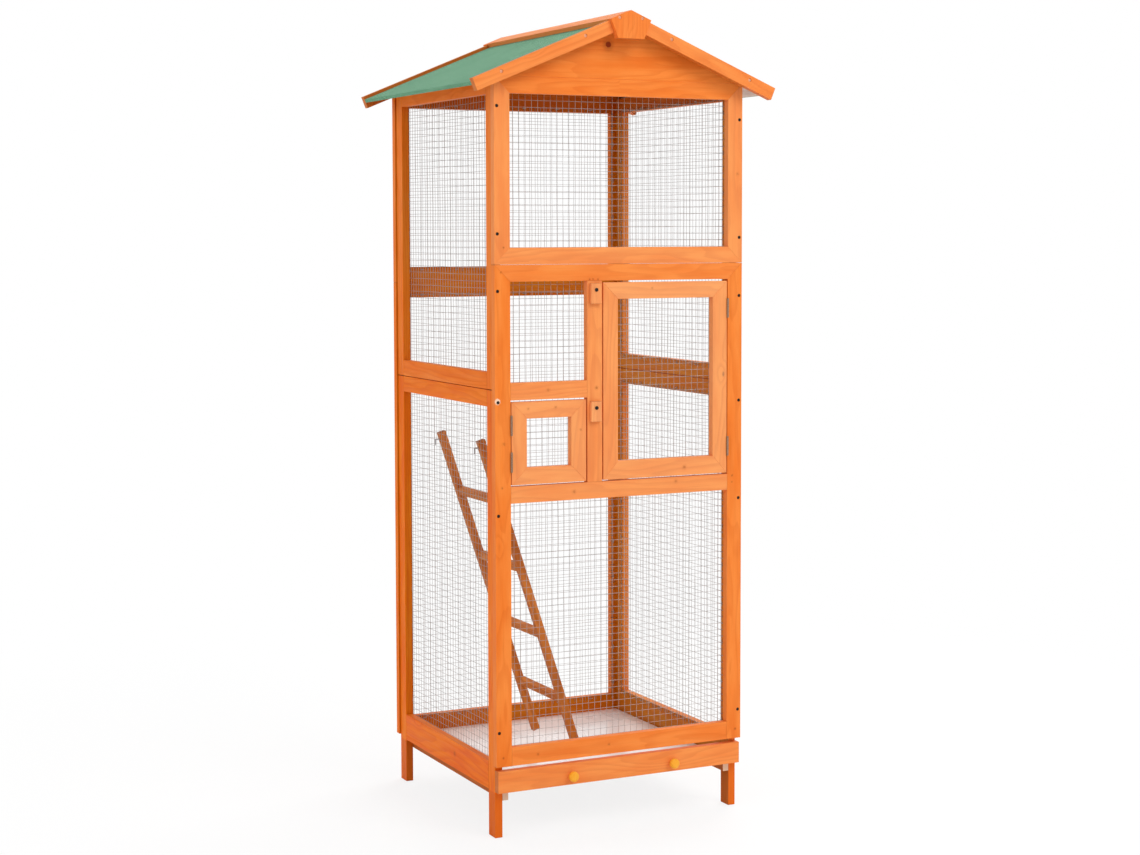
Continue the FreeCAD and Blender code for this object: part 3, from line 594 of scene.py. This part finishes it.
def finishedPiece(shape, name, body, material, nodes=(), smooth=False, fixNormals=False):
    if fixNormals:
        bmesh.ops.recalc_face_normals(shape, faces=shape.faces)
    mesh = bpy.data.meshes.new(name)
    shape.to_mesh(mesh)
    shape.free()
    for face in mesh.polygons:
        face.use_smooth = smooth
    piece = bpy.data.objects.new(name, mesh)
    scene.collection.objects.link(piece)
    mesh.materials.append(material)
    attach(piece, body)
    if nodes:
        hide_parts(*nodes)
    return piece


def bodyOf(node):
    return frame["nodes"][node]["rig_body"]


# Rounding of the sanded edges
timberLook = {
    "edge": 0.0007,
    "buttonEdge": 0.0014,
    "rungEdge": 0.0012,
    "feltEdge": 0.0005,
}


def timber(node, slot, material, seed, edge=timberLook["edge"], shape=None, **ways):
    # A packed timber with rounded edges and its own grain
    shape = shape or shapeOf(node)
    softened(shape, edge)
    grainMarks(shape, seed, **ways)
    return finishedPiece(shape, node + "_timber", bodyOf(node), material, [node])


# How pale each front timber came out, from 0 for the plain stain to 1 for pale
frontTones = {
    "front_upper_left_stile": 0.6, "front_upper_right_stile": 0.65, "front_upper_top_rail": 0.0,
    "front_upper_bottom_rail": 0.6, "front_lower_left_stile": 0.0, "front_lower_right_stile": 0.0,
    "front_lower_top_rail": 0.0, "front_mid_rail": 0.8, "front_bottom_rail": 0.08,
    "door_divider": 0.6, "small_door_lintel": 0.75, "front_gable_board": 0.0,
    "large_door_stiles": 1.0, "large_door_rails": 1.15, "small_door_stiles": 1.05,
    "small_door_rails": 1.15, "drawer_front": 0.45,
}
buttonTone = 1.25

# Half of the joint that stays open between the upper and the lower panel
panelGap = 0.0003


def parted(node):
    # A front timber that leaves the joint open where it ends at the panels' seam
    shape = shapeOf(node)
    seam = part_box("front_upper_bottom_rail")[0].z
    for point in shape.verts:
        if abs(point.co.z - seam) < 1e-5:
            point.co.z += panelGap if node.startswith("front_upper") else -panelGap
    return shape


for seed, (node, tone) in enumerate(frontTones.items(), 12):
    # the doors get no painted inner shade, as their backs come into the light when they open
    inward = None if node.endswith(("stiles", "rails")) else (0, 1, 0)
    timber(node, "stained_wood", stainedWood, seed, shape=parted(node), toned=tone, inward=inward)
for seed, node in enumerate(("large_door_button", "small_door_button"), 29):
    timber(node, "pale_wood", stainedWood, seed, edge=timberLook["buttonEdge"], toned=buttonTone)
timber("back_gable_board", "stained_wood", stainedWood, 38, inward=(0, -1, 0))
timber("runner_battens", "raw_wood", runnerWood, 39)


# Side and back frames: two uprights with rails between them

sideFrame = {
    "leg": 0.032,
    "rail": 0.0335,
    "baseRail": 0.0565,
    "baseTop": 0.150,
    "seamGap": 0.0007,      # half of the dark joint between the lower and the upper frame
}
backFrame = {
    "stile": 0.0335,
    "rail": 0.0335,
    "baseRail": 0.037,
}

# How pale each frame came out: the left side and the back are darkened, a painted shade for the sides
# turned from the lamps
frameToneAndShade = {
    "left_lower_frame": -0.7, "right_lower_frame": 0.0, "left_upper_frame": -0.35,
    "right_upper_frame": 0.0, "back_lower_frame": -0.4, "back_upper_frame": -0.4,
}


def sideTimbers(node, seed, lower, toned):
    low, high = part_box(node)
    if lower:
        high.z -= sideFrame["seamGap"]
    else:
        low.z += sideFrame["seamGap"]
    leg, rail = sideFrame["leg"], sideFrame["rail"]
    shape = bmesh.new()
    plank(shape, low, (high.x, low.y + leg, high.z))
    plank(shape, (low.x, high.y - leg, low.z), high)
    plank(shape, (low.x, low.y + leg, high.z - rail), (high.x, high.y - leg, high.z))
    foot = sideFrame["baseTop"] - sideFrame["baseRail"] if lower else low.z
    top = sideFrame["baseTop"] if lower else low.z + rail
    plank(shape, (low.x, low.y + leg, foot), (high.x, high.y - leg, top))
    inward = (1, 0, 0) if low.x < 0 else (-1, 0, 0)
    timber(node, "stained_wood", stainedWood, seed, shape=shape, toned=toned, inward=inward)


def backTimbers(node, seed, lower, toned):
    low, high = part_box(node)
    stile, rail = backFrame["stile"], backFrame["rail"]
    foot = backFrame["baseRail"] if lower else rail
    shape = bmesh.new()
    plank(shape, low, (low.x + stile, high.y, high.z))
    plank(shape, (high.x - stile, low.y, low.z), high)
    plank(shape, (low.x + stile, low.y, high.z - rail), (high.x - stile, high.y, high.z))
    plank(shape, (low.x + stile, low.y, low.z), (high.x - stile, high.y, low.z + foot))
    timber(node, "stained_wood", stainedWood, seed, shape=shape, toned=toned, inward=(0, -1, 0))


for seed, (node, tone) in enumerate(frameToneAndShade.items(), 41):
    make = backTimbers if node.startswith("back") else sideTimbers
    make(node, seed, "lower" in node, tone)
print("cage timbers made")


# Ladder and roof timbers

slopes = {
    "ladder": math.radians(-18.3),
    "roof": math.radians(22.5),
}
ridgeLook = {
    "run": 0.0465,          # down the slope from the ridge
    "thick": 0.009,
}

timber("ladder_rails", "dark_wood", darkWood, 51, lean=slopes["ladder"])
timber("ladder_rungs", "dark_wood", darkWood, 52, edge=timberLook["rungEdge"],
       lean=slopes["ladder"])
timber("front_barge_boards", "stained_wood", stainedWood, 53, toned=0.2, inward=(0, 1, 0),
       roofSlope=slopes["roof"])
timber("rear_barge_boards", "stained_wood", stainedWood, 54, toned=0.3, inward=(0, -1, 0),
       roofSlope=slopes["roof"])
timber("front_apex_plate", "stained_wood", stainedWood, 55, along=2)
timber("rear_apex_plate", "stained_wood", stainedWood, 56, along=2)


def ridgeCaps():
    # Two strips that meet along the ridge, each cut off straight at the middle
    low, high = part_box("ridge_caps")
    slope = slopes["roof"]
    run, thick = ridgeLook["run"], ridgeLook["thick"]
    shape = bmesh.new()
    for side in (-1, 1):
        strip = bmesh.new()
        plank(strip, (-run * 0.5, low.y, -thick), (run, high.y, 0))
        bmesh.ops.transform(strip, verts=strip.verts, matrix=Matrix.Rotation(slope, 4, "Y"))
        bmesh.ops.translate(strip, verts=strip.verts, vec=(0, 0, high.z))
        cutLine = bmesh.ops.bisect_plane(strip, geom=wholeOf(strip), plane_co=(0, 0, 0),
                                         plane_no=(-1, 0, 0), clear_outer=True)["geom_cut"]
        bmesh.ops.contextual_create(strip, geom=edgesOf(cutLine))
        if side < 0:
            bmesh.ops.transform(strip, verts=strip.verts, matrix=Matrix.Diagonal((-1, 1, 1, 1)))
        bmesh.ops.recalc_face_normals(strip, faces=strip.faces)
        joined(shape, strip)
    # the ridge caps are made paler: a painted highlight for the light falling on them from above
    timber("ridge_caps", "stained_wood", stainedWood, 57, shape=shape, roofSlope=slope, toned=0.4)


ridgeCaps()
print("ladder and roof timbers made")


# Felt and roof boards


def roofSheets():
    for side in ("left", "right"):
        node = side + "_roof_felt"
        shape = shapeOf(node)
        softened(shape, timberLook["feltEdge"])
        finishedPiece(shape, node + "_sheet", "root", mineralFelt, [node])
        keepPacked(side + "_roof_board", roofPly)


roofSheets()
print("roof sheets made")


# Net: thin wires welded in squares, bent a little as the sheet bends

netLook = {
    "pitch": 0.0138,
    "wire": 0.00038,        # radius
    "sink": 0.0007,         # from one layer's middle to the other's
    "lap": 0.010,
    "bulge": 0.0011,
    "drift": 0.0009,
    "step": 0.05,           # a wire's length from one bend to the next
    "free": 0.05,           # from the edge to where the sheet bends freely
    "behind": 0.0009,       # from the timbers' inner face to the middle of the sheet
}
stapleLook = {
    "crown": 0.0095,
    "wire": 0.0007,
    "rise": 0.0011,
    "sunk": 0.0008,         # of the legs in the timber
    "broad": 1.5,           # as many times as wide as thick
    "every": 6,             # wires from one staple to the next
    "share": 0.45,          # how far into the lap they sit
}


def wireRow(shape, length, count, start, pitch, height):
    # Parallel wires along X, one above the other
    place = Matrix.Translation((length / 2, 0, 0)) @ Matrix.Rotation(math.pi / 2, 4, "Y")
    first = bmesh.ops.create_cone(shape, cap_ends=True, segments=5, radius1=netLook["wire"],
                                  radius2=netLook["wire"], depth=length, matrix=place)["verts"]
    long = [edge for edge in shape.edges if edge.verts[0] in set(first)
            and abs(edge.verts[0].co.x - edge.verts[1].co.x) > length / 2]
    bmesh.ops.subdivide_edges(shape, edges=long, cuts=max(3, round(length / netLook["step"])))
    wire = wholeOf(shape)
    bmesh.ops.translate(shape, verts=shape.verts[:], vec=(0, start, height))
    for index in range(1, count):
        made = bmesh.ops.duplicate(shape, geom=wire)["geom"]
        bmesh.ops.translate(shape, verts=pointsOf(made), vec=(0, pitch * index, 0))


def staple(shape, u, v, upright):
    # A crown over one wire's end and two short legs, on the timber round the window
    long, thick = stapleLook["crown"], stapleLook["wire"]
    rise, sunk = stapleLook["rise"], stapleLook["sunk"]
    broad = thick * stapleLook["broad"]
    parts = [((0, 0, rise), (long, broad, thick))]
    for side in (-1, 1):
        parts.append(((side * (long - thick) / 2, 0, (rise - sunk) / 2), (thick, broad, rise + sunk)))
    turn = Matrix.Rotation(math.pi / 2 if upright else 0, 4, "Z")
    for place, size in parts:
        matrix = Matrix.Translation((u, v, 0)) @ turn @ Matrix.Translation(place)
        bmesh.ops.create_cube(shape, size=1, matrix=matrix @ Matrix.Diagonal((*size, 1)))


def netPiece(node, seed):
    low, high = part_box(node)
    lap, pitch = netLook["lap"], netLook["pitch"]
    flatY = high.y - low.y < high.x - low.x
    wide = high.x - low.x if flatY else high.y - low.y
    tall = high.z - low.z
    # the first wires lie on the window's low corner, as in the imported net
    countUp = 1 + int((tall - lap) / pitch)
    countAcross = 1 + int((wide - lap) / pitch)
    rows = bmesh.new()
    wireRow(rows, wide, countUp, lap, pitch, netLook["sink"] / 2)
    columns = bmesh.new()
    wireRow(columns, tall, countAcross, lap, pitch, -netLook["sink"] / 2)
    swap = Matrix(((0, 1, 0, 0), (1, 0, 0, 0), (0, 0, 1, 0), (0, 0, 0, 1)))
    bmesh.ops.transform(columns, verts=columns.verts, matrix=swap)
    bmesh.ops.reverse_faces(columns, faces=columns.faces)
    joined(rows, columns)
    for point in rows.verts:
        u, v, _ = point.co
        spot = Vector((u * 6 + seed, v * 6, seed * 1.7))
        # flat at the timbers, where the staples hold it
        hold = min(1.0, min(u, wide - u, v, tall - v) / netLook["free"])
        point.co.z += hold * netLook["bulge"] * noise.noise(spot * 1.3)
        point.co.x += hold * netLook["drift"] * noise.noise(spot * 2 + Vector((9, 2, 5)))
        point.co.y += hold * netLook["drift"] * noise.noise(spot * 2 + Vector((3, 7, 1)))
    every, inset = stapleLook["every"], lap * stapleLook["share"]
    for index in range(2, countAcross - 1, every):
        for v in (inset, tall - inset):
            staple(rows, lap + index * pitch, v, False)
    for index in range(2, countUp - 1, every):
        for u in (inset, wide - inset):
            staple(rows, u, lap + index * pitch, True)
    axis = 1 if flatY else 0
    inward = 1 if low[axis] < 0 else -1
    face = low[axis] if low[axis] < 0 else high[axis]
    sheet = (0, 0, inward, face + inward * netLook["behind"])
    side = (1, 0, 0, low[1 - axis])
    turn = Matrix((side if flatY else sheet, sheet if flatY else side, (0, 1, 0, low.z), (0, 0, 0, 1)))
    bmesh.ops.transform(rows, verts=rows.verts, matrix=turn)
    bmesh.ops.recalc_face_normals(rows, faces=rows.faces)
    finishedPiece(rows, node + "_wires", bodyOf(node), netWire, [node], smooth=True)


nets = [node for node in sorted(frame["nodes"]) if node.endswith("_net")]
for index, node in enumerate(nets):
    netPiece(node, 5 + 2 * index)
print("nets made:", len(nets))


# Knobs, turned from a profile

knobLook = {
    "spread": 0.232,
    "height": 0.113,
    "profile": ((0.0, 0.0), (0.0055, 0.0), (0.0052, 0.004), (0.0060, 0.0062), (0.0092, 0.0072),
                (0.0104, 0.0092), (0.0105, 0.0130), (0.0100, 0.0156), (0.0084, 0.0173),
                (0.0045, 0.0179), (0.0, 0.0180)),
}


def knobs():
    face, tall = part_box("drawer_knobs")[1].y, knobLook["height"]
    shape = bmesh.new()
    for side in (-1, 1):
        middle = side * knobLook["spread"] / 2
        points = [shape.verts.new((middle + radius, face - out, tall))
                  for radius, out in knobLook["profile"]]
        edges = [shape.edges.new(pair) for pair in zip(points, points[1:])]
        bmesh.ops.spin(shape, geom=points + edges, cent=(middle, 0, tall), axis=(0, 1, 0),
                       angle=2 * math.pi, steps=40, use_merge=True)
    bmesh.ops.remove_doubles(shape, verts=shape.verts, dist=2e-6)
    grainMarks(shape, 61, along=1)
    finishedPiece(shape, "drawer_knobs_turned", "drawer", knobWood, ["drawer_knobs"],
                  smooth=True, fixNormals=True)


knobs()


# Screws: heads with a cross cut into them, on their stems

screwLooks = {
    "front_screws": {"radius": 0.0031, "rise": 0.0008, "stem": 0.0016, "length": 0.012},
    "roof_screws": {"radius": 0.0031, "rise": 0.0008, "stem": 0.0016, "length": 0.012},
    "button_screws": {"radius": 0.0038, "rise": 0.0016, "stem": 0.0018, "length": 0.020},
}

# The cross in a head, as shares of the head's radius and rise
crossLook = {
    "reach": 0.62,
    "half": 0.15,
    "deep": 0.8,
    "rim": 0.9,             # from here outward the head is domed
    "fall": 0.35,
}


def screwHead(look, turned):
    # A closed head that looks along Z, its cross turned by some angle, with its stem below it
    radius = look["radius"]
    disc = bmesh.new()
    bmesh.ops.create_circle(disc, cap_ends=True, segments=20, radius=radius)
    for normal in ((1, 0, 0), (0, 1, 0)):
        for offset in (-crossLook["reach"], -crossLook["half"], crossLook["half"], crossLook["reach"]):
            bmesh.ops.bisect_plane(disc, geom=wholeOf(disc), plane_co=Vector(normal) * radius * offset,
                                   plane_no=normal)
    rim = [edge for edge in disc.edges if len(edge.link_faces) == 1]
    skirt = bmesh.ops.extrude_edge_only(disc, edges=rim)["geom"]
    bmesh.ops.translate(disc, verts=pointsOf(skirt), vec=(0, 0, -look["rise"]))
    lowerRim = [edge for edge in edgesOf(skirt) if len(edge.link_faces) == 1]
    bmesh.ops.contextual_create(disc, geom=lowerRim)
    cross = []
    for item in disc.faces:
        centre = item.calc_center_median()
        near, far = sorted((abs(centre.x), abs(centre.y)))
        if centre.z > -1e-6 and near < radius * crossLook["half"] and far < radius * crossLook["reach"]:
            cross.append(item)
    sunk = bmesh.ops.extrude_face_region(disc, geom=cross)["geom"]
    bmesh.ops.delete(disc, geom=cross, context="FACES_ONLY")
    bmesh.ops.translate(disc, verts=pointsOf(sunk), vec=(0, 0, -look["rise"] * crossLook["deep"]))
    domed = [point for point in disc.verts
             if point.co.xy.length > radius * crossLook["rim"] and point.co.z > -1e-6]
    bmesh.ops.translate(disc, verts=domed, vec=(0, 0, -look["rise"] * crossLook["fall"]))
    place = Matrix.Translation((0, 0, -look["rise"] - look["length"] / 2))
    bmesh.ops.create_cone(disc, cap_ends=True, segments=10, radius1=look["stem"] * 0.7,
                          radius2=look["stem"], depth=look["length"], matrix=place)
    bmesh.ops.recalc_face_normals(disc, faces=disc.faces)
    bmesh.ops.rotate(disc, verts=disc.verts, matrix=Matrix.Rotation(turned, 3, "Z"))
    return disc


def screws(node, material):
    # One screw at each packed screw, its cross turned as it happened to stop
    look = screwLooks[node]
    chance = random.Random(node)
    spots = []
    packed = shapeOf(node)
    for group in separateBoards(packed):
        low = [min(point.co[axis] for point in group) for axis in range(3)]
        high = [max(point.co[axis] for point in group) for axis in range(3)]
        spots.append((low, high))
    packed.free()
    shape = bmesh.new()
    for low, high in sorted(spots):
        front = low[1] + high[1] < 0
        head = screwHead(look, chance.uniform(0, math.pi))
        place = Matrix.Translation(((low[0] + high[0]) / 2, low[1] if front else high[1],
                                    (low[2] + high[2]) / 2))
        place = place @ Matrix.Rotation(math.pi / 2 if front else -math.pi / 2, 4, "X")
        bmesh.ops.transform(head, verts=head.verts, matrix=place)
        joined(shape, head)
    finishedPiece(shape, node + "_heads", bodyOf(node), material, [node])


screws("front_screws", screwSteel)
screws("roof_screws", paleScrewSteel)
screws("button_screws", screwSteel)
for node in ("hinge_pins", "hinge_frame_leaves", "large_door_hinge_leaves", "small_door_hinge_leaves"):
    keepPacked(node, hingeSteel)
keepPacked("ladder_hooks", zincSteel)
keepPacked("drawer_tray", traySheet)
print("hardware made")


# Floor, backdrop and lamps

studio = {
    "floor": 0.93,
    "floorSize": 30,
    "sink": 0.0004,         # how far the floor lies below the feet
    "skyLight": 0.69,
    "shown": 0.8,           # how much of the camera's floor is plain white near the object
    "near": 0.6,
    "far": 2.2,             # from here on the floor is white
}
lampLooks = {
    "frontLamp": {"place": (1.1, -3.6, 4.1), "aim": (0, 0, 0.8), "width": 2.2, "power": 77},
    "backLamp": {"place": (2.8, 2.4, 3.6), "aim": (0, 0, 0.3), "width": 2.6, "power": 105},
    "sideLamp": {"place": (-4.2, -1.2, 3.0), "aim": (0, 0, 0.8), "width": 2.6, "power": 22},
}


def studioFloor():
    shape = bmesh.new()
    bmesh.ops.create_grid(shape, x_segments=1, y_segments=1, size=studio["floorSize"])
    mesh = bpy.data.meshes.new("studioFloor")
    shape.to_mesh(mesh)
    shape.free()
    floor = bpy.data.objects.new("studioFloor", mesh)
    scene.collection.objects.link(floor)
    floor.location.z = -studio["sink"]
    material, tree = newMaterial("studioFloor")
    seen = addNode(tree, "LightPath").outputs["Is Camera Ray"]
    away = addNode(tree, "VectorMath", {0: objectPlace(tree)}, operation="LENGTH").outputs["Value"]
    share = sums(tree, "MULTIPLY", seen, between(tree, away, studio["near"], studio["far"],
                                                 studio["shown"], 1.0))
    matt = addNode(tree, "BsdfDiffuse", {"Color": (studio["floor"],) * 3 + (1,)})
    white = addNode(tree, "Emission", {"Color": (1, 1, 1, 1), "Strength": 1.0})
    mixed = addNode(tree, "MixShader", {0: share, 1: matt.outputs[0], 2: white.outputs[0]})
    addNode(tree, "OutputMaterial", {0: mixed.outputs[0]})
    mesh.materials.append(material)


def studioWorld():
    world = bpy.data.worlds.new("studioWorld")
    world.use_nodes = True
    tree = world.node_tree
    tree.nodes.clear()
    path = addNode(tree, "LightPath")
    seen = sums(tree, "MAXIMUM", path.outputs["Is Camera Ray"], path.outputs["Is Glossy Ray"])
    soft = addNode(tree, "Background", {"Color": (1, 1, 1, 1), "Strength": studio["skyLight"]})
    white = addNode(tree, "Background", {"Color": (1, 1, 1, 1), "Strength": 1.0})
    mixed = addNode(tree, "MixShader", {0: seen, 1: soft.outputs[0], 2: white.outputs[0]})
    addNode(tree, "OutputWorld", {0: mixed.outputs[0]})
    scene.world = world


def lamp(name, look):
    data = bpy.data.lights.new(name, "AREA")
    data.shape = "SQUARE"
    data.size = look["width"]
    data.energy = look["power"]
    made = bpy.data.objects.new(name, data)
    scene.collection.objects.link(made)
    away = Vector(look["place"]) - Vector(look["aim"])
    turn = away.to_track_quat("Z", "Y").to_matrix().to_4x4()
    made.matrix_world = Matrix.Translation(look["place"]) @ turn


studioFloor()
studioWorld()
for name, look in lampLooks.items():
    lamp(name, look)
print("studio made")
